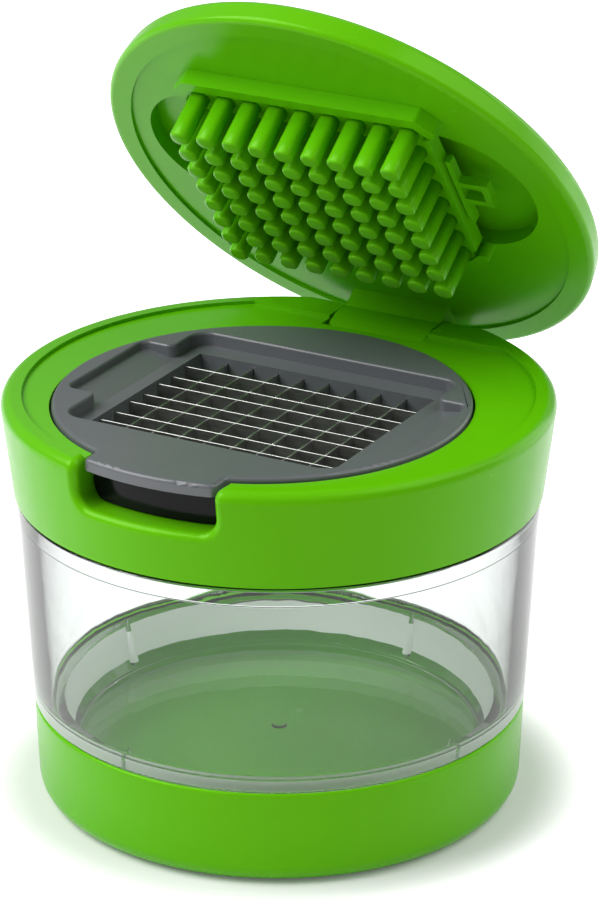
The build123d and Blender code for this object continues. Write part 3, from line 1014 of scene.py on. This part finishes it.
def make_floor():
    """White table that keeps the object's shadow and is plain white further off."""
    mesh = bpy.data.meshes.new("floor")
    size = 2 * floor_half_size * MM
    corners = [(x, y, 0) for x, y in rectangle(0, 0, size, size)]
    mesh.from_pydata(corners, [], [range(len(corners))])
    material, tree, place = new_material("white_table")
    lit = add_node(tree, "ShaderNodeBsdfDiffuse", {"Color": linear(table)})
    away = add_node(tree, "ShaderNodeVectorMath", {0: place}, operation="LENGTH").outputs["Value"]
    glow = add_node(
        tree,
        "ShaderNodeMapRange",
        {
            "Value": away,
            "From Min": floor_near * MM,
            "From Max": floor_far * MM,
            "To Min": glow_near,
            "To Max": glow_far,
        },
        interpolation_type="SMOOTHSTEP",
    ).outputs["Result"]
    path = add_node(tree, "ShaderNodeLightPath").outputs
    gloss = add_node(tree, "ShaderNodeMath", {0: path["Is Glossy Ray"], 1: glow_gloss}, operation="MULTIPLY")
    shown = add_node(tree, "ShaderNodeMath", {0: path["Is Camera Ray"], 1: gloss}, operation="MAXIMUM")
    glowing = add_node(tree, "ShaderNodeMath", {0: shown, 1: glow}, operation="MULTIPLY")
    through = add_node(
        tree,
        "ShaderNodeMath",
        {0: path["Is Transmission Ray"], 1: glow_through},
        operation="MULTIPLY",
    )
    strength = add_node(tree, "ShaderNodeMath", {0: glowing, 1: through}, operation="MAXIMUM")
    light = add_node(tree, "ShaderNodeEmission", {"Strength": strength})
    both = add_node(tree, "ShaderNodeAddShader", {0: lit.outputs["BSDF"], 1: light.outputs["Emission"]})
    dim = add_node(tree, "ShaderNodeEmission", {"Strength": dark_level})
    whole = add_node(
        tree,
        "ShaderNodeMixShader",
        {0: thrown_back(tree, path), 1: both.outputs["Shader"], 2: dim.outputs["Emission"]},
    )
    add_node(tree, "ShaderNodeOutputMaterial", {"Surface": whole.outputs["Shader"]})
    as_piece("floor", mesh, material)


def make_lamp(name, azimuth, elevation, power):
    """Square soft box that faces the object; azimuth is measured from the camera's."""
    data = bpy.data.lights.new(name, "AREA")
    data.size = lamp_size * MM
    data.energy = power
    lamp = bpy.data.objects.new(name, data)
    away = direction(camera_azimuth + azimuth, elevation)
    lamp.location = (Vector(camera_target) + away * lamp_distance) * MM
    lamp.rotation_euler = away.to_track_quat("Z", "Y").to_euler()
    bpy.context.scene.collection.objects.link(lamp)


def make_studio():
    """Camera, white room and table, and three soft boxes."""
    make_camera()
    make_world()
    make_floor()
    make_lamp("left", azimuth=-80, elevation=46, power=6.4)
    make_lamp("right", azimuth=75, elevation=50, power=2.3)
    make_lamp("rim", azimuth=120, elevation=12, power=1.7)


def dress(node, material):
    """Gives a node that is shown as it is its finish."""
    mesh = frame["nodes"][node].data
    mesh.materials.clear()
    mesh.materials.append(material)


def make_finishes():
    """The object's materials, by their common names."""
    return {
        "green_abs": moulded_plastic(
            "green_abs",
            green,
            green_deep,
            green_gloss,
            shine=0.5,
            smooth=0.2,
            rough=0.3,
            grain=0.7,
            grain_depth=0.002,
        ),
        "grey_abs": moulded_plastic(
            "grey_abs",
            grey,
            grey_deep,
            white,
            shine=0.65,
            smooth=0.3,
            rough=0.4,
            grain=0.35,
            grain_depth=0.004,
        ),
        "black_abs": moulded_plastic(
            "black_abs",
            black_soft,
            black,
            white,
            shine=0.15,
            smooth=0.1,
            rough=0.2,
            grain=0.9,
            grain_depth=0.001,
        ),
        # white painted on the skirt's inside, standing in for bright light seen through the clear wall
        "painted_light_san": moulded_plastic(
            "painted_light_san",
            painted_light_white,
            painted_light_white_deep,
            white,
            shine=0.5,
            smooth=0.3,
            rough=0.5,
            grain=0.3,
            grain_depth=0.003,
        ),
        "clear_san": clear_plastic("clear_san"),
        "stainless_strip": strip_steel("stainless_strip"),
    }


def main():
    """Stage, finishes, and a finished piece for every node."""
    bpy.context.scene.view_settings.view_transform = "Standard"
    make_studio()
    finish = make_finishes()
    green_abs = finish["green_abs"]
    stainless = finish["stainless_strip"]
    dress("hinge_pin", stainless)
    stand_in_for(make_base_cup(green_abs), "base_cup", "base")
    cup = make_container(finish["clear_san"], finish["painted_light_san"])
    stand_in_for(cup, "container", "container")
    stand_in_for(softened("collar", green_abs, collar_edge), "collar", "head")
    stand_in_for(softened("lid", green_abs, lid_edge), "lid", "lid")
    stand_in_for(make_presser(green_abs), "presser", "lid")
    top_frame = softened("blade_frame", finish["grey_abs"], frame_edge, pocket_lip)
    stand_in_for(top_frame, "blade_frame", "head")
    retainer = softened("blade_retainer", finish["black_abs"], retainer_edge)
    stand_in_for(retainer, "blade_retainer", "head")
    for node in frame["nodes"]:
        if node.startswith(("cross_blade", "long_blade")):
            stand_in_for(softened(node, stainless, blade_edge), node, "head")


main()
